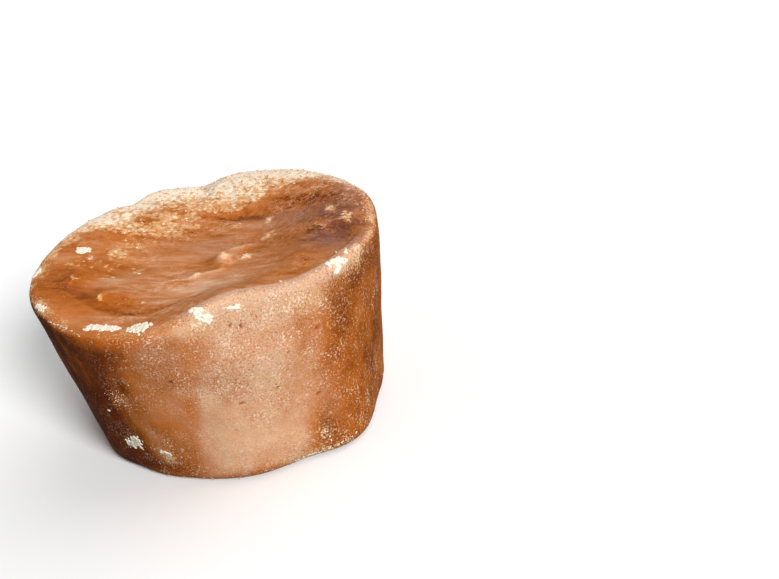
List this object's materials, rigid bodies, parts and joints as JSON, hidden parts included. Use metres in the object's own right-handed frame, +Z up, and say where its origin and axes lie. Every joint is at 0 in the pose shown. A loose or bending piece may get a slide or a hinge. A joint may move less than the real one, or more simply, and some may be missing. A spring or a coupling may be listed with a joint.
{
  "type": "jaggery block",
  "caption": "Bucket-moulded block of unrefined cane sugar: a tapered round cake with an uneven rim, a shallow dished top and a flat base to rest on.",
  "frame": {"origin": "middle of the flat base, where the axis of the tapering side meets it", "axes": "+Z up along the axis of the taper, through the dished top; -Y towards the raised stretch of the rim; +X to its right"},
  "size_m": [0.0998, 0.0982, 0.056],
  "materials": {
    "jaggery": "satin"
  },
  "bodies": {
    "root": {"jaggery_block": "jaggery"}
  },
  "joints": []
}
